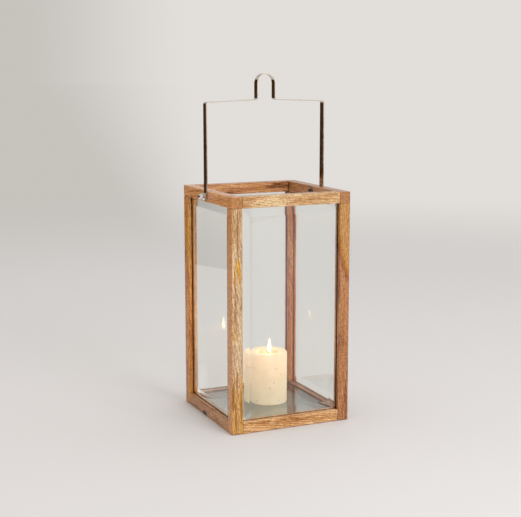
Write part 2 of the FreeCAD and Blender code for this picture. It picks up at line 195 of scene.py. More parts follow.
@dataclass(frozen=True)
class MangoWood:
    """Mango wood, sawn, sanded and given a thin satin lacquer.

    The heartwood's brown and golden streaks run along the grain, with growth lines that
    open into loops, short dark pores as dashes, and here and there golden sapwood. The
    lacquer gives a low, even sheen that shows on faces turned to a light.
    """

    name: str
    along: Along
    tones: Tones
    seed: tuple[float, float, float] = (0.0, 0.0, 0.0)
    marks: tuple[Mark, ...] = ()
    figure_width: float = 7 * MM
    figure_stretch: float = 10.0
    zone_width: float = 22 * MM
    streak_edge: tuple[float, float] = (0.55, 0.63)
    streak_strength: float = 0.7
    line_width: float = 4 * MM
    line_tone: str = "b48c68"
    line_strength: float = 0.4
    fibre_width: float = 0.6 * MM
    fibre_tone: str = "b8a894"
    fibre_strength: float = 0.65
    # Real pores are about 0.2 mm wide. They are drawn 0.75 mm wide, so that they show.
    pore_width: float = 0.75 * MM
    pore_tone: str = "a0744c"
    pore_strength: float = 0.8
    pore_depth: float = 0.8
    ring_width: float = 2.6 * MM
    ring_stretch: float = 0.25
    end_light: str = "c08a54"
    end_dark: str = "8a5628"
    end_strength: float = 0.85
    # Painted shade darkens the wood in the grooves and the corners, this deep.
    painted_shade_reach: float = 5 * MM
    painted_shade_tone: str = "6c4a30"
    relief: float = 0.25 * MM

    def along_grain(self, add: AddNode, width: float, stretch: float) -> bpy.types.NodeSocket:
        """Gives coordinates in which a pattern of scale 1 has this width across the grain.

        Args:
            add: The function that adds nodes to the material.
            width: The pattern's size across the grain, in metres.
            stretch: How many times longer it is along the grain.

        Returns:
            The coordinates.
        """
        scale = [1 / width] * 3
        scale[self.along.value] /= stretch
        where = add("ShaderNodeTexCoord", output="Object")
        place = [offset / width for offset in self.seed]
        return add("ShaderNodeMapping", {"Vector": where, "Scale": scale, "Location": place})

    def grain(
        self, add: AddNode, width: float, stretch: float, detail: float, distortion: float = 0.0
    ) -> bpy.types.NodeSocket:
        """Lays down one layer of grain of a real width.

        Args:
            add: The function that adds nodes to the material.
            width: The size across the grain, in metres.
            stretch: How many times longer it is along the grain.
            detail: How many finer layers it has.
            distortion: How much it wanders.

        Returns:
            Its value, around 0.5.
        """
        return add(
            "ShaderNodeTexNoise",
            {
                "Vector": self.along_grain(add, width, stretch),
                "Scale": 1.0,
                "Detail": detail,
                "Roughness": 0.55,
                "Distortion": distortion,
            },
        )

    def sawn_ends(self, add: AddNode) -> bpy.types.NodeSocket:
        """Finds the faces that are sawn across the grain.

        Args:
            add: The function that adds nodes to the material.

        Returns:
            1 on those faces and 0 on the others.
        """
        normal = add("ShaderNodeTexCoord", output="Normal")
        facing = add("ShaderNodeSeparateXYZ", {"Vector": normal}, output=self.along.name)
        size = add("ShaderNodeMath", {0: facing}, operation="ABSOLUTE")
        return add(
            "ShaderNodeMapRange",
            {"Value": size, "From Min": 0.75, "From Max": 0.9},
            interpolation_type="SMOOTHSTEP",
        )

    def growth_lines(self, add: AddNode) -> bpy.types.NodeSocket:
        """Draws the growth lines, which wander and close into loops.

        Args:
            add: The function that adds nodes to the material.

        Returns:
            0 on a line, rising to 1 beside it.
        """
        return add(
            "ShaderNodeTexWave",
            {
                "Vector": self.along_grain(add, self.line_width, 6.0),
                "Scale": 0.628,
                "Distortion": 9.0,
                "Detail": 2.0,
                "Detail Scale": 0.35,
            },
            output="Fac",
            bands_direction="DIAGONAL",
        )

    def with_marks(self, add: AddNode, colour: bpy.types.NodeSocket) -> bpy.types.NodeSocket:
        """Lays the knots and the sapwood over the wood's tone.

        Args:
            add: The function that adds nodes to the material.
            colour: The wood's tone.

        Returns:
            The tone with its marks.
        """
        for mark in self.marks:
            where = add("ShaderNodeTexCoord", output="Object")
            offset = add("ShaderNodeVectorMath", {0: where, 1: mark.place}, operation="SUBTRACT")
            share = add("ShaderNodeVectorMath", {0: offset, 1: mark.reach}, operation="DIVIDE")
            away = add("ShaderNodeVectorMath", {0: share}, operation="LENGTH")
            ragged = add(
                "ShaderNodeMath",
                {0: self.grain(add, mark.wander_width, 2.5, 2.0), 1: mark.wander, 2: away},
                operation="MULTIPLY_ADD",
            )
            edge = 1.0 + mark.wander / 2
            inside = linear(mark.colour)
            if mark.rim:
                rim = add(
                    "ShaderNodeMapRange",
                    {"Value": ragged, "From Min": edge - 0.2, "From Max": edge - 0.02},
                    interpolation_type="SMOOTHSTEP",
                )
                inside = add(
                    "ShaderNodeMix", {0: rim, 6: inside, 7: linear(mark.rim)}, data_type="RGBA"
                )
            clear = add(
                "ShaderNodeMapRange",
                {"Value": ragged, "From Min": edge - mark.softness, "From Max": edge},
                interpolation_type="SMOOTHSTEP",
            )
            colour = add("ShaderNodeMix", {0: clear, 6: inside, 7: colour}, data_type="RGBA")
        return colour

    def tone(
        self, add: AddNode, fibre: bpy.types.NodeSocket, pores: bpy.types.NodeSocket
    ) -> bpy.types.NodeSocket:
        """Mixes the wood's colour.

        Args:
            add: The function that adds nodes to the material.
            fibre: The finest layer of grain.
            pores: 1 in a pore and 0 beside it.

        Returns:
            The colour.
        """
        tones = self.tones
        colour = add(
            "ShaderNodeValToRGB",
            {"Fac": self.grain(add, self.figure_width, self.figure_stretch, 5.0, 1.2)},
            stops=((0.33, tones.dark), (0.47, tones.middle), (0.62, tones.light)),
        )
        streaks = add(
            "ShaderNodeMapRange",
            {
                "Value": self.grain(add, self.zone_width, 4.0, 2.0, 0.8),
                "From Min": self.streak_edge[0],
                "From Max": self.streak_edge[1],
            },
            interpolation_type="SMOOTHSTEP",
        )
        golden = add(
            "ShaderNodeMix",
            {0: self.streak_strength, 6: colour, 7: linear(tones.streak)},
            data_type="RGBA",
        )
        colour = add("ShaderNodeMix", {0: streaks, 6: colour, 7: golden}, data_type="RGBA")
        colour = self.with_marks(add, colour)
        lines = add(
            "ShaderNodeValToRGB",
            {"Fac": self.growth_lines(add)},
            stops=((0.0, self.line_tone), (0.4, WHITE)),
        )
        fibres = add(
            "ShaderNodeValToRGB", {"Fac": fibre}, stops=((0.35, self.fibre_tone), (0.6, WHITE))
        )
        for strength, layer in ((self.line_strength, lines), (self.fibre_strength, fibres)):
            colour = add(
                "ShaderNodeMix",
                {0: strength, 6: colour, 7: layer},
                data_type="RGBA",
                blend_type="MULTIPLY",
            )
        porous = add(
            "ShaderNodeMix",
            {0: self.pore_strength, 6: colour, 7: linear(self.pore_tone)},
            data_type="RGBA",
            blend_type="MULTIPLY",
        )
        return add("ShaderNodeMix", {0: pores, 6: colour, 7: porous}, data_type="RGBA")

    def with_ends_and_painted_shade(
        self, add: AddNode, colour: bpy.types.NodeSocket
    ) -> bpy.types.NodeSocket:
        """Draws the rings on the sawn ends, and painted shade in grooves and corners.

        Args:
            add: The function that adds nodes to the material.
            colour: The wood's colour along the grain.

        Returns:
            The colour everywhere.
        """
        rings = add(
            "ShaderNodeValToRGB",
            {"Fac": self.grain(add, self.ring_width, self.ring_stretch, 3.0, 1.5)},
            stops=((0.4, self.end_dark), (0.6, self.end_light)),
        )
        ringed = add(
            "ShaderNodeMix", {0: self.end_strength, 6: colour, 7: rings}, data_type="RGBA"
        )
        colour = add(
            "ShaderNodeMix", {0: self.sawn_ends(add), 6: colour, 7: ringed}, data_type="RGBA"
        )
        # Painted shade: ambient occlusion darkens the wood where grooves and corners close in.
        groove_shade = add(
            "ShaderNodeAmbientOcclusion", {"Distance": self.painted_shade_reach}, output="AO", samples=8
        )
        unshaded = add(
            "ShaderNodeMapRange",
            {"Value": groove_shade, "From Min": 0.25, "From Max": 0.75},
            interpolation_type="SMOOTHSTEP",
        )
        in_groove_shade = add(
            "ShaderNodeMix",
            {0: 1.0, 6: colour, 7: linear(self.painted_shade_tone)},
            data_type="RGBA",
            blend_type="MULTIPLY",
        )
        return add("ShaderNodeMix", {0: unshaded, 6: in_groove_shade, 7: colour}, data_type="RGBA")

    def material(self) -> bpy.types.Material:
        """Builds the material.

        Returns:
            The material.
        """
        material, add = new_material(f"mango_wood_{self.name}")
        fibre = self.grain(add, self.fibre_width, 9.0, 3.0)
        pores = add(
            "ShaderNodeMapRange",
            {
                "Value": self.grain(add, self.pore_width, 3.2, 2.0),
                "From Min": 0.54,
                "From Max": 0.64,
            },
            interpolation_type="SMOOTHSTEP",
        )
        height = add(
            "ShaderNodeMath", {0: pores, 1: -self.pore_depth, 2: fibre}, operation="MULTIPLY_ADD"
        )
        shader = add(
            "ShaderNodeBsdfPrincipled",
            {
                "Base Color": self.with_ends_and_painted_shade(add, self.tone(add, fibre, pores)),
                "Roughness": add(
                    "ShaderNodeMapRange", {"Value": fibre, "To Min": 0.2, "To Max": 0.36}
                ),
                "IOR": 1.5,
                "Specular IOR Level": 0.5,
                "Normal": add(
                    "ShaderNodeBump", {"Height": height, "Strength": 0.35, "Distance": self.relief}
                ),
            },
        )
        add("ShaderNodeOutputMaterial", {"Surface": shader})
        return material


@dataclass(frozen=True)
class ClearGlass:
    """Float glass with ground and polished bevels.

    It is all but colourless face on, mirrors the studio at a slant, and its bevels bend
    what stands behind them. Lamps shine through it, as they do through thin real glass.
    """

    name: str
    tint: str
    ior: float = 1.5
    # Polishing leaves waves tens of millimetres long in the surface.
    wave_length: float = 45 * MM
    wave_height: float = 0.01 * MM

    def material(self) -> bpy.types.Material:
        """Builds the material.

        Returns:
            The material.
        """
        material, add = new_material(f"float_glass_{self.name}")
        waves = add(
            "ShaderNodeTexNoise",
            {
                "Vector": add("ShaderNodeTexCoord", output="Object"),
                "Scale": 1 / self.wave_length,
                "Detail": 1.0,
            },
        )
        glass = add(
            "ShaderNodeBsdfPrincipled",
            {
                "Base Color": linear(self.tint),
                "Roughness": 0.0,
                "IOR": self.ior,
                "Transmission Weight": 1.0,
                "Normal": add(
                    "ShaderNodeBump",
                    {"Height": waves, "Strength": 1.0, "Distance": self.wave_height},
                ),
            },
        )
        open_glass = add("ShaderNodeBsdfTransparent", {"Color": linear(self.tint)})
        in_shadow = add("ShaderNodeLightPath", output="Is Shadow Ray")
        mix = add("ShaderNodeMixShader", {"Fac": in_shadow, 1: glass, 2: open_glass})
        add("ShaderNodeOutputMaterial", {"Surface": mix})
        return material


@dataclass(frozen=True)
class PolishedSteel:
    """Nickel-plated steel strip and fasteners, polished and lightly handled.

    It mirrors the room, pale where it faces the backdrop and dark where it faces away,
    with hairline scratches that soften the reflections a little.
    """

    name: str
    colour: str = "cfc8be"
    cloud: str = "dcd6cd"
    roughness: float = 0.16
    # Hairlines are finer than a tenth of a millimetre. They are drawn at 0.4 mm.
    scratch_width: float = 0.4 * MM
    scratch_depth: float = 0.02 * MM
    cloud_width: float = 14 * MM
    # Painted shade darkens the metal where pieces meet, this far out.
    crease_shade_reach: float = 2.0 * MM
    crease_shade_tone: str = "4c3c2e"

    def material(self) -> bpy.types.Material:
        """Builds the material.

        Returns:
            The material.
        """
        material, add = new_material(f"polished_nickel_{self.name}")
        where = add("ShaderNodeTexCoord", output="Object")
        scratches = add(
            "ShaderNodeTexNoise", {"Vector": where, "Scale": 1 / self.scratch_width, "Detail": 2.0}
        )
        clouds = add(
            "ShaderNodeTexNoise", {"Vector": where, "Scale": 1 / self.cloud_width, "Detail": 3.0}
        )
        rough = add(
            "ShaderNodeMapRange",
            {
                "Value": clouds,
                "From Min": 0.3,
                "From Max": 0.7,
                "To Min": self.roughness * 0.7,
                "To Max": self.roughness * 1.4,
            },
        )
        tone = add(
            "ShaderNodeValToRGB", {"Fac": clouds}, stops=((0.3, self.colour), (0.7, self.cloud))
        )
        # Painted shade: ambient occlusion darkens the metal in the creases.
        crease_occlusion = add(
            "ShaderNodeAmbientOcclusion", {"Distance": self.crease_shade_reach}, output="AO", samples=8
        )
        unshaded = add(
            "ShaderNodeMapRange",
            {"Value": crease_occlusion, "From Min": 0.3, "From Max": 0.7},
            interpolation_type="SMOOTHSTEP",
        )
        crease_shaded_tone = add(
            "ShaderNodeMix",
            {0: 1.0, 6: tone, 7: linear(self.crease_shade_tone)},
            data_type="RGBA",
            blend_type="MULTIPLY",
        )
        shader = add(
            "ShaderNodeBsdfPrincipled",
            {
                "Base Color": add(
                    "ShaderNodeMix", {0: unshaded, 6: crease_shaded_tone, 7: tone}, data_type="RGBA"
                ),
                "Metallic": 1.0,
                "Roughness": rough,
                "Normal": add(
                    "ShaderNodeBump",
                    {"Height": scratches, "Strength": 0.02, "Distance": self.scratch_depth},
                ),
            },
        )
        add("ShaderNodeOutputMaterial", {"Surface": shader})
        return material


@dataclass(frozen=True)
class ParaffinWax:
    """Cream paraffin, moulded, with the flame's light painted on as a glow from the top.

    Wax scatters light inside, and the painted glow is peach near its flame and paler at
    its foot. A few specks of soot and dust lie on it.
    """

    top: float
    height: float
    cream: str = "c0ae96"
    shaded_cream: str = "b6a48c"
    mottle_width: float = 16 * MM
    # The painted glow's colours, from the top down to the foot.
    glow: str = "d0b292"
    painted_glow_middle: str = "b09a7c"
    painted_glow_foot: str = "989078"
    scatter: float = 8 * MM
    speck_spacing: float = 9 * MM
    speck_edge: tuple[float, float] = (0.06, 0.11)
    speck_tone: str = "5c4630"
    speck_in_painted_glow: str = "3a2e20"

    def material(self) -> bpy.types.Material:
        """Builds the material.

        Returns:
            The material.
        """
        material, add = new_material("paraffin_wax_candle")
        where = add("ShaderNodeTexCoord", output="Object")
        climb = add(
            "ShaderNodeMapRange",
            {
                "Value": add("ShaderNodeSeparateXYZ", {"Vector": where}, output="Z"),
                "From Min": self.top - self.height,
                "From Max": self.top,
            },
        )
        mottle = add(
            "ShaderNodeTexNoise", {"Vector": where, "Scale": 1 / self.mottle_width, "Detail": 3.0}
        )
        tone = add(
            "ShaderNodeValToRGB",
            {"Fac": mottle},
            stops=((0.35, self.shaded_cream), (0.65, self.cream)),
        )
        specks = add(
            "ShaderNodeTexVoronoi",
            {"Vector": where, "Scale": 1 / self.speck_spacing, "Randomness": 1.0},
        )
        clear = add(
            "ShaderNodeMapRange",
            {"Value": specks, "From Min": self.speck_edge[0], "From Max": self.speck_edge[1]},
            interpolation_type="SMOOTHSTEP",
        )
        # Painted glow: this emission stands in for the flame's light, brightest near the top and
        # dark in the specks.
        light = add(
            "ShaderNodeValToRGB",
            {"Fac": climb},
            stops=((0.0, self.painted_glow_foot), (0.5, self.painted_glow_middle), (1.0, self.glow)),
        )
        tone, light = (
            add("ShaderNodeMix", {0: clear, 6: linear(speck), 7: clean}, data_type="RGBA")
            for speck, clean in ((self.speck_tone, tone), (self.speck_in_painted_glow, light))
        )
        shader = add(
            "ShaderNodeBsdfPrincipled",
            {
                "Base Color": tone,
                "Roughness": 0.42,
                "IOR": 1.44,
                "Subsurface Weight": 0.6,
                "Subsurface Radius": (1.0, 0.55, 0.3),
                "Subsurface Scale": self.scatter,
                "Emission Color": light,
                "Emission Strength": 1.0,
                "Normal": add(
                    "ShaderNodeBump", {"Height": mottle, "Strength": 0.3, "Distance": 0.3 * MM}
                ),
            },
        )
        add("ShaderNodeOutputMaterial", {"Surface": shader})
        return material


@dataclass(frozen=True)
class MoltenWax:
    """Melted paraffin round the wick: clear, amber and as smooth as water, with a faint painted
    glow.
    """

    colour: str = "f2d2ae"
    cloud: str = "e8c09a"
    cloud_width: float = 8 * MM
    scatter: float = 4 * MM

    def material(self) -> bpy.types.Material:
        """Builds the material.

        Returns:
            The material.
        """
        material, add = new_material("molten_paraffin_pool")
        clouds = add(
            "ShaderNodeTexNoise",
            {
                "Vector": add("ShaderNodeTexCoord", output="Object"),
                "Scale": 1 / self.cloud_width,
                "Detail": 2.0,
            },
        )
        shader = add(
            "ShaderNodeBsdfPrincipled",
            {
                "Base Color": add(
                    "ShaderNodeValToRGB",
                    {"Fac": clouds},
                    stops=((0.35, self.cloud), (0.65, self.colour)),
                ),
                "Roughness": 0.05,
                "IOR": 1.44,
                "Subsurface Weight": 0.3,
                "Subsurface Scale": self.scatter,
                "Subsurface Radius": (1.0, 0.5, 0.2),
                # Painted glow: a faint amber emission stands in for the flame's light on the pool.
                "Emission Color": linear("ffb060"),
                "Emission Strength": 0.08,
            },
        )
        add("ShaderNodeOutputMaterial", {"Surface": shader})
        return material


@dataclass(frozen=True)
class CharredCotton:
    """A braided cotton wick, waxed white at its foot and charred black at its tip."""

    foot: float
    tip: float
    braid: float = 0.7 * MM
    braid_depth: float = 0.3 * MM

    def material(self) -> bpy.types.Material:
        """Builds the material.

        Returns:
            The material.
        """
        material, add = new_material("charred_cotton_wick")
        where = add("ShaderNodeTexCoord", output="Object")
        climb = add(
            "ShaderNodeMapRange",
            {
                "Value": add("ShaderNodeSeparateXYZ", {"Vector": where}, output="Z"),
                "From Min": self.foot,
                "From Max": self.tip,
            },
        )
        charring = ((0.0, "d9c39c"), (0.25, "4a3426"), (0.6, "171210"), (1.0, "2a120a"))
        weave = add(
            "ShaderNodeTexNoise", {"Vector": where, "Scale": 1 / self.braid, "Detail": 2.0}
        )
        shader = add(
            "ShaderNodeBsdfPrincipled",
            {
                "Base Color": add("ShaderNodeValToRGB", {"Fac": climb}, stops=charring),
                "Roughness": 0.9,
                "Emission Color": add(
                    "ShaderNodeValToRGB", {"Fac": climb}, stops=((0.82, "000000"), (1.0, "ff6a20"))
                ),
                "Emission Strength": 2.0,
                "Normal": add(
                    "ShaderNodeBump",
                    {"Height": weave, "Strength": 0.6, "Distance": self.braid_depth},
                ),
            },
        )
        add("ShaderNodeOutputMaterial", {"Surface": shader})
        return material


@dataclass(frozen=True)
class CandleFlame:
    """Burning wax vapour: white-hot in the middle, amber at its edge and tip."""

    name: str
    foot: float
    tip: float
    low: str
    middle: str
    high: str
    strength: float
    cover: float

    def material(self) -> bpy.types.Material:
        """Builds the material.

        Returns:
            The material.
        """
        material, add = new_material(f"candle_flame_{self.name}")
        where = add("ShaderNodeTexCoord", output="Object")
        climb = add(
            "ShaderNodeMapRange",
            {
                "Value": add("ShaderNodeSeparateXYZ", {"Vector": where}, output="Z"),
                "From Min": self.foot,
                "From Max": self.tip,
            },
        )
        colour = add(
            "ShaderNodeValToRGB",
            {"Fac": climb},
            stops=((0.0, self.low), (0.3, self.middle), (1.0, self.high)),
        )
        light = add("ShaderNodeEmission", {"Color": colour, "Strength": self.strength})
        clear = add("ShaderNodeBsdfTransparent")
        mix = add("ShaderNodeMixShader", {"Fac": self.cover, 1: clear, 2: light})
        add("ShaderNodeOutputMaterial", {"Surface": mix})
        return material


@dataclass(frozen=True)
class PressedTinplate:
    """Tinplate, pressed and dull, as a wick tab is."""

    name: str = "wick_tab"
    colour: str = "b9b6b0"
    shade: str = "a8a59f"
    grain_width: float = 0.8 * MM

    def material(self) -> bpy.types.Material:
        """Builds the material.

        Returns:
            The material.
        """
        material, add = new_material(f"pressed_tinplate_{self.name}")
        grain = add(
            "ShaderNodeTexNoise",
            {
                "Vector": add("ShaderNodeTexCoord", output="Object"),
                "Scale": 1 / self.grain_width,
                "Detail": 2.0,
            },
        )
        shader = add(
            "ShaderNodeBsdfPrincipled",
            {
                "Base Color": add(
                    "ShaderNodeValToRGB",
                    {"Fac": grain},
                    stops=((0.3, self.shade), (0.7, self.colour)),
                ),
                "Metallic": 1.0,
                "Roughness": add(
                    "ShaderNodeMapRange", {"Value": grain, "To Min": 0.3, "To Max": 0.5}
                ),
            },
        )
        add("ShaderNodeOutputMaterial", {"Surface": shader})
        return material


def mesh_piece(
    name: str, mesh: bmesh.types.BMesh, material: bpy.types.Material
) -> bpy.types.Object:
    """Turns a bmesh into a smooth-shaded object at the origin.

    Args:
        name: The piece's name.
        mesh: Its shape, in metres. It is freed.
        material: Its finish.

    Returns:
        The object, linked to the scene.
    """
    bmesh.ops.remove_doubles(mesh, verts=mesh.verts, dist=MERGE)
    bmesh.ops.recalc_face_normals(mesh, faces=mesh.faces)
    data = bpy.data.meshes.new(name)
    mesh.to_mesh(data)
    mesh.free()
    data.materials.append(material)
    data.shade_smooth()
    piece = bpy.data.objects.new(name, data)
    bpy.context.scene.collection.objects.link(piece)
    LOG.info("%s: %d faces", name, len(data.polygons))
    return piece


def lathe(outline: list[Vector], centre: Vector, steps: int) -> bmesh.types.BMesh:
    """Spins an outline about an upright axis.

    Args:
        outline: Points with the radius as X and the height as Z, from axis to axis.
        centre: Where the axis stands.
        steps: How many steps the full turn takes.

    Returns:
        The closed shape.
    """
    mesh = bmesh.new()
    points = [mesh.verts.new(point) for point in outline]
    edges = [mesh.edges.new(pair) for pair in zip(points, points[1:])]
    bmesh.ops.spin(
        mesh,
        geom=points + edges,
        cent=(0, 0, 0),
        axis=(0, 0, 1),
        angle=math.tau,
        steps=steps,
        use_merge=True,
    )
    bmesh.ops.remove_doubles(mesh, verts=mesh.verts, dist=MERGE)
    bmesh.ops.translate(mesh, verts=mesh.verts, vec=centre)
    return mesh


def rounded(points: list[Vector], radii: list[float], steps: int = 6) -> list[Vector]:
    """Rounds the corners of an outline with tangent arcs.

    Args:
        points: The outline's corners.
        radii: A radius for each corner; 0 keeps it sharp.
        steps: How many steps an arc takes.

    Returns:
        The outline's points.
    """
    out: list[Vector] = []
    for i, (point, radius) in enumerate(zip(points, radii)):
        if radius == 0:
            out.append(point)
            continue
        before = (points[i - 1] - point).normalized()
        after = (points[i + 1] - point).normalized()
        half = before.angle(after) / 2
        reach = radius / math.tan(half)
        start, end = point + before * reach, point + after * reach
        centre = point + (before + after).normalized() * (radius / math.sin(half))
        first, last = start - centre, end - centre
        for step in range(steps + 1):
            out.append(centre + first.slerp(last, step / steps) * radius)
    return out


@dataclass
class WoodenFrame:
    """The posts and rails: twelve pieces of mango wood, each with its own figure."""

    nodes: dict[str, bpy.types.Object]
    # The front and the left faces of the posts.
    front: float = -100 * MM
    left: float = -100 * MM

    def front_left_marks(self) -> tuple[Mark, ...]:
        """Lists the golden tongues and the dark lines of the front left post, and the brighter
        orange painted on its left face.

        Returns:
            The marks, from the lowest layer to the top one.
        """
        # Painted light: this mark gives the post's whole left face a brighter orange, against the
        # shade on that side.
        side = Mark(
            (-106 * MM, -91 * MM, 180 * MM),
            (7 * MM, 60 * MM, 900 * MM),
            "e2a56a",
            softness=0.05,
            wander=0.1,
        )
        gold, deep_gold = "e6b05e", "c88a28"
        # Where it lies across and up the post and its three reaches, in millimetres, then
        # its colour, its rim and how much its edge wanders.
        tongues = (
            (-90, 262, (4, 5, 12), "e8b44c", deep_gold, 0.35),
            (-87, 246, (2.2, 4, 12), "e4ac44", deep_gold, 0.35),
            (-95, 243, (1.6, 4, 14), "d89c34", deep_gold, 0.35),
            (-90, 312, (1.3, 4, 42), "a87c40", None, 0.6),
            (-84, 36, (5.0, 8, 54), gold, None, 0.6),
            (-96, 26, (4.5, 5, 50), gold, None, 0.6),
            (-98, 58, (2.0, 5, 24), "a8742a", None, 0.5),
            (-85, 44, (2.0, 5, 30), "c08418", None, 0.5),
            (-92, 86, (1.4, 4, 15), "b87c28", None, 0.5),
            (-94, 30, (1.2, 4, 26), "a06c2c", None, 0.5),
        )
        return (
            side,
            *(
                Mark(
                    (across * MM, self.front, height * MM),
                    tuple(reach * MM for reach in reaches),
                    colour,
                    rim,
                    wander=wander,
                )
                for across, height, reaches, colour, rim, wander in tongues
            ),
        )

    def front_right_marks(self) -> tuple[Mark, ...]:
        """Lists the sapwood of the front right post and the darker wood round it.

        Returns:
            The marks, from the lower layer to the top one.
        """
        place = (112 * MM, self.front, 330 * MM)
        shadow_wood = Mark(place, (37.5 * MM, 60 * MM, 122 * MM), "a4643a", wander=0.1)
        sapwood = Mark(
            place,
            (33.3 * MM, 60 * MM, 108 * MM),
            "d29e5c",
            rim="c8861c",
            softness=0.03,
            wander=0.06,
            wander_width=20 * MM,
        )
        return shadow_wood, sapwood

    def woods(self) -> list[MangoWood]:
        """Lists the finish of every piece, each named for its node.

        Returns:
            The finishes.
        """
        straw = Tones("b98a58", "dcba8e", "ecd4b0", "d8a860")
        honey = Tones("b47e48", "d8aa72", "eac696", "f4daaa")
        maple = Tones("b87a3c", "e6b070", "fad09a", "ffe0b2")
        copper = Tones("985c34", "ba7c4a", "d29a68", "cc905a")
        amber = Tones("a06429", "d89044", "f0b264", "e4ac46")
        red = Tones("a06838", "c68c5c", "d8a676", "d8a878")
        cherry = Tones("ac5e2e", "d2824c", "e49c62", "e49e64")
        # The top left rail's tones are lighter and redder than its wood: partly its own colour,
        # partly painted light against the shade on the left face.
        rust_lifted = Tones("bc7a40", "e8a466", "f8c086", "f2ba82")
        brown = Tones("986639", "c08a58", "d2a06e", "d4ae86")
        ember = Tones("70401e", "c88a54", "f0ba84", "dc9c58")
        x, y, z = Along
        # A paler tone for the painted shade in the grooves of some pieces.
        pale_painted_shade = "a88460"
        knot = Mark(
            (self.left, 14.5 * MM, 3.2 * MM), (3 * MM, 9.5 * MM, 4.8 * MM), "1e181a", wander=0.2
        )
        sapwood = {"marks": self.front_right_marks(), "pore_strength": 1.0}
        wavy = {"line_strength": 0.7, "painted_shade_tone": pale_painted_shade}
        knotty = {"marks": (knot,), "painted_shade_tone": pale_painted_shade}
        coarse = {"line_strength": 0.6, "pore_strength": 1.0}
        return [
            MangoWood("post_front_left", z, straw, (0.03, 0.11, 0.2), self.front_left_marks()),
            MangoWood("post_front_right", z, copper, (0.31, 0.17, 0.4), **sapwood),
            MangoWood("post_back_left", z, amber, (0.51, 0.67, 0.1)),
            MangoWood("post_back_right", z, cherry, (0.71, 0.27, 0.8)),
            MangoWood("bottom_rail_front", x, maple, (0.13, 0.47, 0.9), **wavy),
            MangoWood("bottom_rail_right", y, copper, (0.23, 0.37, 0.6)),
            MangoWood("bottom_rail_back", x, red, (0.83, 0.87, 0.3)),
            MangoWood("bottom_rail_left", y, brown, (0.43, 0.57, 0.5), **knotty),
            MangoWood("top_rail_left", y, rust_lifted, (0.93, 0.07, 0.7)),
            MangoWood("top_rail_right", y, red, (0.63, 0.97, 0.2)),
            MangoWood("top_rail_front", x, honey, (0.33, 0.77, 0.1)),
            MangoWood("top_rail_back", x, ember, (0.53, 0.17, 0.9), **coarse),
        ]

    def dress(self) -> None:
        """Gives every wooden piece its own cut of the wood, and the dowels beech."""
        for wood in self.woods():
            put_on(self.nodes[wood.name], wood.material())
        beech = Tones("c9a678", "d8b98e", "e3c9a2", "f4e6cc")
        for name, along in (
            ("post_dowels", Along.Z),
            ("ring_dowels", Along.X),
            ("base_dowels", Along.X),
        ):
            put_on(self.nodes[name], MangoWood(f"beech_{name}", along, beech).material())


@dataclass
class Glazing:
    """The four bevelled side panes and the glass floor."""

    nodes: dict[str, bpy.types.Object]

    def dress(self) -> None:
        """Gives the panes clear glass and the floor its greyer, greener glass."""
        clear = ClearGlass("clear_pane", "fcfdfb").material()
        for side in ("front", "right", "back", "left"):
            put_on(self.nodes[f"pane_{side}"], clear)
        put_on(self.nodes["floor_pane"], ClearGlass("floor", "d6dad6").material())


@dataclass
class Hardware:
    """The bail and the screws and acorn nuts that it swings on."""

    nodes: dict[str, bpy.types.Object]

    def dress(self) -> None:
        """Gives the bail and nuts bright nickel, and the screws a darker nickel that is painted
        shade.
        """
        put_on(self.nodes["handle"], PolishedSteel("bail").material())
        # Painted shade: the screws' nickel is darkened because they sit in shade inside the frame.
        shaded_screw_nickel = PolishedSteel("screws", "7c7c82", "96969c", roughness=0.12).material()
        nut = PolishedSteel("nuts", "e6e6ea", "eeeef2", roughness=0.07).material()
        for side in ("left", "right"):
            put_on(self.nodes[f"pivot_screw_{side}"], shaded_screw_nickel)
            put_on(self.nodes[f"acorn_nut_{side}"], nut)


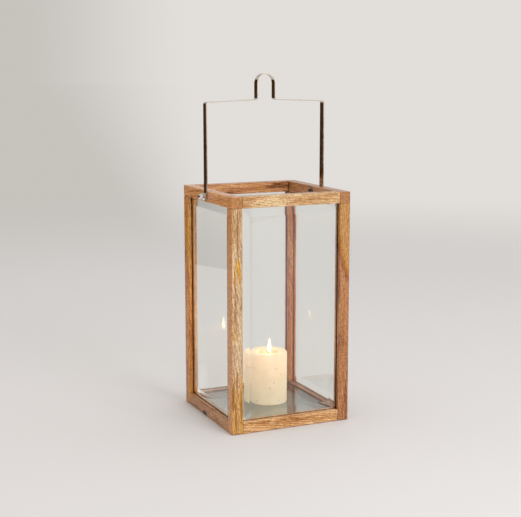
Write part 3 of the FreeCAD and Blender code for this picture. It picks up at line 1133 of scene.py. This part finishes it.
@dataclass
class PillarCandle:
    """The candle: moulded wax with a melt pool, its wick and its flame."""

    rim: float = 3.0 * MM
    foot: float = 1.2 * MM
    pool_mouth: float = 20.0 * MM
    pool_floor: float = 13.0 * MM
    pool_depth: float = 5.0 * MM
    pool_fill: float = 1.4 * MM
    # The wax falls this far from the rim to the dish's lip, and bends with these radii.
    lip_drop: float = 0.6 * MM
    lip_bend: float = 3.5 * MM
    dish_bend: float = 4.0 * MM
    # The melt is a skin this thick, which climbs this far up the dish at its edge.
    melt_skin: float = 0.8 * MM
    melt_climb: float = 0.25 * MM
    wick_radius: float = 1.0 * MM
    wick_lean: float = 1.6 * MM
    flame_height: float = 25.5 * MM
    flame_radius: float = 2.9 * MM
    # The flame's width climbs fast from its foot and thins slowly towards its tip.
    flame_fullness: float = 1.72
    flame_foot_power: float = 0.25
    flame_tip_power: float = 0.85
    flame_steps: int = 28
    core_share: float = 0.86
    body: str = "candle"

    def __post_init__(self) -> None:
        """Reads the candle's place and size from the frame."""
        low, high = (Vector(corner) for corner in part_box("candle_wax"))
        self.centre = Vector(((low.x + high.x) / 2, (low.y + high.y) / 2, 0))
        self.radius = (high.x - low.x) / 2
        self.base = low.z
        self.top = high.z
        self.pool_level = self.top - self.pool_depth + self.pool_fill

    def at(self, radius: float, height: float) -> Vector:
        """Gives a point of an outline."""
        return Vector((radius, 0, height))

    def wax(self) -> None:
        """Makes the wax, with a softened rim and a dished pool."""
        corners = [
            self.at(0, self.base),
            self.at(self.radius, self.base),
            self.at(self.radius, self.top),
            self.at(self.pool_mouth, self.top - self.lip_drop),
            self.at(self.pool_floor, self.top - self.pool_depth),
            self.at(0, self.top - self.pool_depth),
        ]
        radii = [0, self.foot, self.rim, self.lip_bend, self.dish_bend, 0]
        mesh = lathe(rounded(corners, radii), self.centre, 128)
        wax = ParaffinWax(self.top, self.top - self.base)
        piece = mesh_piece("candle_wax_body", mesh, wax.material())
        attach(piece, self.body)
        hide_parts("candle_wax")

    def pool(self) -> None:
        """Makes the melted wax that stands in the dish."""
        level = self.pool_level
        share = (level - (self.top - self.pool_depth)) / self.pool_depth
        radius = self.pool_floor + share * (self.pool_mouth - self.pool_floor)
        corners = [
            self.at(0, level - self.melt_skin),
            self.at(radius - 1.0 * MM, level - self.melt_skin),
            self.at(radius + 0.4 * MM, level + self.melt_climb),
            self.at(radius - 1.5 * MM, level),
            self.at(0, level),
        ]
        mesh = lathe(rounded(corners, [0, 0.3 * MM, 0, 0.8 * MM, 0]), self.centre, 96)
        piece = mesh_piece("melt_pool", mesh, MoltenWax().material())
        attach(piece, self.body)

    def wick(self) -> None:
        """Makes the wick, from the candle's foot to its curling, charred tip."""
        low, high = (Vector(corner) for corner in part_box("wick"))
        curve = bpy.data.curves.new("wick_line", "CURVE")
        curve.dimensions = "3D"
        curve.bevel_depth = self.wick_radius
        curve.bevel_resolution = 4
        curve.use_fill_caps = True
        spline = curve.splines.new("NURBS")
        rise = high.z - self.pool_level
        places = [
            (0.0, self.base),
            (0.0, self.pool_level - 4 * MM),
            (0.0, self.pool_level + 0.3 * rise),
            (0.3 * MM, self.pool_level + 0.7 * rise),
            (self.wick_lean, high.z - 0.5 * MM),
        ]
        spline.points.add(len(places) - 1)
        for point, (lean, height) in zip(spline.points, places):
            point.co = (self.centre.x + lean, self.centre.y, height, 1.0)
        spline.order_u = 3
        spline.use_endpoint_u = True
        holder = bpy.data.objects.new("wick_line", curve)
        bpy.context.scene.collection.objects.link(holder)
        graph = bpy.context.evaluated_depsgraph_get()
        shape = bpy.data.meshes.new_from_object(holder.evaluated_get(graph))
        mesh = bmesh.new()
        mesh.from_mesh(shape)
        bpy.data.objects.remove(holder)
        bpy.data.curves.remove(curve)
        bpy.data.meshes.remove(shape)
        cotton = CharredCotton(self.pool_level, high.z)
        piece = mesh_piece("braided_wick", mesh, cotton.material())
        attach(piece, self.body)
        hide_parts("wick")

    def flame_shell(self, name: str, size: float, flame: CandleFlame) -> bpy.types.Object:
        """Makes one skin of the flame, a drop with a long tip.

        Args:
            name: The piece's name.
            size: Its size beside the whole flame.
            flame: Its finish.

        Returns:
            The piece.
        """
        outline = []
        for step in range(self.flame_steps + 1):
            climb = step / self.flame_steps
            width = self.flame_radius * size * self.flame_fullness
            width *= climb**self.flame_foot_power * (1 - climb) ** self.flame_tip_power
            outline.append(self.at(width, flame.foot + self.flame_height * size * climb))
        mesh = lathe(outline, self.centre + Vector((self.wick_lean, 0, 0)), 48)
        piece = mesh_piece(name, mesh, flame.material())
        piece.visible_shadow = False
        piece.visible_diffuse = False
        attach(piece, self.body)
        return piece

    def flame(self) -> None:
        """Makes the flame's amber skin and white core, and the light it throws."""
        foot = self.pool_level + 0.2 * MM
        tip = foot + self.flame_height
        skin = CandleFlame(
            "skin",
            foot,
            tip,
            low="ff9a40",
            middle="ffc880",
            high="ffb060",
            strength=2.4,
            cover=0.45,
        )
        core = CandleFlame(
            "core",
            foot + 0.6 * MM,
            tip,
            low="ffb868",
            middle="ffdca8",
            high="ffc888",
            strength=65.0,
            cover=0.95,
        )
        self.flame_shell("flame_skin", 1.0, skin)
        heart = self.flame_shell("flame_core", self.core_share, core)
        lamp = bpy.data.lights.new("flame_light", "POINT")
        lamp.energy = 0.018
        lamp.color = linear("ffb46a")[:3]
        lamp.shadow_soft_size = 4 * MM
        glow = bpy.data.objects.new("flame_light", lamp)
        glow.location = self.centre + Vector((0, 0, foot + self.flame_height * 0.5))
        glow.parent = heart
        glow.visible_camera = False
        glow.visible_glossy = False
        glow.visible_transmission = False
        bpy.context.scene.collection.objects.link(glow)

    def build(self, nodes: dict[str, bpy.types.Object]) -> None:
        """Makes the whole candle and dresses its tab.

        Args:
            nodes: The CAD nodes' objects by name.
        """
        self.wax()
        self.pool()
        self.wick()
        self.flame()
        put_on(nodes["wick_tab"], PressedTinplate().material())


@dataclass
class Studio:
    """A pale floor and soft light round the lantern, and the camera."""

    camera_place: tuple[float, float, float] = (-0.7530, -1.6477, 0.5611)
    camera_turn: float = 24.34
    camera_tilt: float = -9.67
    lens: float = 79.07
    sensor: float = 36.0
    pale: str = "e2deda"
    dim: str = "c7c3bd"
    # The paper's fibres are about 0.05 mm wide. They are drawn at 2 mm.
    paper_grain: float = 2 * MM
    paper_fade: tuple[float, float] = (1.2, 3.2)
    floor_radius: float = 30.0
    # What the lamps point at, the lantern's middle.
    target: tuple[float, float, float] = (0.0, 0.0, 0.25)

    def room(self, add: AddNode, direction: bpy.types.NodeSocket) -> bpy.types.NodeSocket:
        """Gives the room's colour in a direction: pale, with a dimmer corner on its left.

        Args:
            add: The function that adds nodes to the tree.
            direction: Which way, from the lantern.

        Returns:
            The colour.
        """
        turn = math.radians(self.camera_turn)
        unit = add("ShaderNodeVectorMath", {0: direction}, operation="NORMALIZE")
        aside = add(
            "ShaderNodeVectorMath",
            {0: unit, 1: (math.cos(turn), -math.sin(turn), 0.0)},
            operation="DOT_PRODUCT",
        )
        lit, window = (
            add(
                "ShaderNodeMapRange",
                {"Value": aside, "From Min": low, "From Max": high},
                interpolation_type="SMOOTHSTEP",
            )
            for low, high in ((-0.21, -0.05), (-0.45, -0.75))
        )
        both = add("ShaderNodeMath", {0: lit, 1: window}, operation="MAXIMUM")
        return add(
            "ShaderNodeMix", {0: both, 6: linear(self.dim), 7: linear(self.pale)}, data_type="RGBA"
        )

    def camera(self) -> None:
        """Sets up the camera."""
        data = bpy.data.cameras.new("camera")
        data.lens = self.lens
        data.sensor_width = self.sensor
        data.sensor_fit = "HORIZONTAL"
        camera = bpy.data.objects.new("camera", data)
        camera.location = self.camera_place
        camera.rotation_euler = (
            math.radians(90 + self.camera_tilt),
            0.0,
            math.radians(-self.camera_turn),
        )
        bpy.context.scene.collection.objects.link(camera)
        bpy.context.scene.camera = camera

    def world(self) -> None:
        """Lights the scene evenly from all round with the backdrop's colour."""
        world = bpy.data.worlds.new("studio")
        world.use_nodes = True
        world.node_tree.nodes.clear()
        add = partial(add_node, world.node_tree)
        direction = add("ShaderNodeTexCoord", output="Generated")
        light = add("ShaderNodeBackground", {"Color": self.room(add, direction)})
        add("ShaderNodeOutputWorld", {"Surface": light})
        bpy.context.scene.world = world

    def floor_material(self) -> bpy.types.Material:
        """Builds matt background paper, which far away fades into painted light: an emission in
        the backdrop's colour, dimmer on the left.

        Returns:
            The material.
        """
        material, add = new_material("background_paper")
        where = add("ShaderNodeTexCoord", output="Object")
        far = add(
            "ShaderNodeMapRange",
            {
                "Value": add("ShaderNodeVectorMath", {0: where}, operation="LENGTH"),
                "From Min": self.paper_fade[0],
                "From Max": self.paper_fade[1],
            },
            interpolation_type="SMOOTHSTEP",
        )
        fibre = add(
            "ShaderNodeTexNoise", {"Vector": where, "Scale": 1 / self.paper_grain, "Detail": 2.0}
        )
        tone = add("ShaderNodeValToRGB", {"Fac": fibre}, stops=((0.3, "e4e4e6"), (0.7, "e7e7e9")))
        paper = add(
            "ShaderNodeBsdfPrincipled",
            {"Base Color": tone, "Roughness": 0.9, "Specular IOR Level": 0.1},
        )
        # Painted light: far away the paper glows with the room's colour instead of being lit.
        glow = add("ShaderNodeEmission", {"Color": self.room(add, where)})
        mix = add("ShaderNodeMixShader", {"Fac": far, 1: paper, 2: glow})
        add("ShaderNodeOutputMaterial", {"Surface": mix})
        return material

    def floor(self) -> None:
        """Lays the floor."""
        mesh = bmesh.new()
        bmesh.ops.create_circle(mesh, cap_ends=True, radius=self.floor_radius, segments=96)
        piece = mesh_piece("studio_floor", mesh, self.floor_material())

    def card(
        self,
        name: str,
        place: tuple[float, float, float],
        heading: float,
        size: tuple[float, float],
        colour: str,
        strength: float = 1.0,
    ) -> None:
        """Stands up a card that is seen only in reflections.

        Args:
            name: The card's name.
            place: Its middle, in metres.
            heading: How far it is turned about the upright, in degrees.
            size: Its width and height.
            colour: Its sRGB colour.
            strength: How brightly it shows.
        """
        material, add = new_material(f"{name}_felt")
        felt = add("ShaderNodeEmission", {"Color": linear(colour), "Strength": strength})
        add("ShaderNodeOutputMaterial", {"Surface": felt})
        mesh = bmesh.new()
        bmesh.ops.create_grid(mesh, x_segments=1, y_segments=1, size=0.5)
        bmesh.ops.scale(mesh, verts=mesh.verts, vec=(*size, 1.0))
        upright = Euler((math.radians(90), 0.0, math.radians(heading)))
        bmesh.ops.rotate(mesh, verts=mesh.verts, matrix=upright.to_matrix())
        bmesh.ops.translate(mesh, verts=mesh.verts, vec=place)
        piece = mesh_piece(name, mesh, material)
        piece.visible_camera = False
        piece.visible_diffuse = False
        piece.visible_transmission = False
        piece.visible_shadow = False

    def lamp(
        self, name: str, place: tuple[float, float, float], size: float, power: float, colour: str
    ) -> None:
        """Hangs a square soft light that points at the lantern.

        Args:
            name: The light's name.
            place: Where it hangs, in metres.
            size: The length of its side.
            power: Its power in watts.
            colour: Its sRGB colour.
        """
        data = bpy.data.lights.new(name, "AREA")
        data.size = size
        data.energy = power
        data.color = linear(colour)[:3]
        lamp = bpy.data.objects.new(name, data)
        lamp.location = place
        lamp.visible_glossy = False
        aim = Vector(self.target) - Vector(place)
        lamp.rotation_euler = aim.to_track_quat("-Z", "Y").to_euler()
        bpy.context.scene.collection.objects.link(lamp)

    def build(self) -> None:
        """Sets up the whole studio."""
        self.camera()
        self.world()
        self.floor()
        dark, bright = "442806", "fffaf4"
        self.card("front_card", (1.45, -2.65, 0.15), -36.5, (2.86, 0.3), dark)
        self.card("bright_card", (1.45, -2.65, 0.75), -36.5, (2.86, 0.66), bright, strength=1.35)
        self.card("left_card", (-0.9, 0.6, 0.5), 66.8, (3.05, 1.0), dark)
        self.lamp("key_light", (0.6, -2.2, 1.1), size=1.2, power=25.4, colour="fffefd")
        self.lamp("top_light", (0.4, 0.2, 2.4), size=1.6, power=4.5, colour=WHITE)
        self.lamp("side_light", (-2.1, -0.1, 0.9), size=1.0, power=3.6, colour="ffe0c0")
        view = bpy.context.scene.view_settings
        view.view_transform = "Standard"
        view.look = "None"


def main() -> None:
    """Builds the lantern and its studio."""
    logging.basicConfig(level=logging.INFO, format="%(name)s: %(message)s")
    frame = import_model()
    nodes = frame["nodes"]
    Studio().build()
    WoodenFrame(nodes).dress()
    Glazing(nodes).dress()
    Hardware(nodes).dress()
    PillarCandle().build(nodes)


if __name__ == "__main__":
    main()
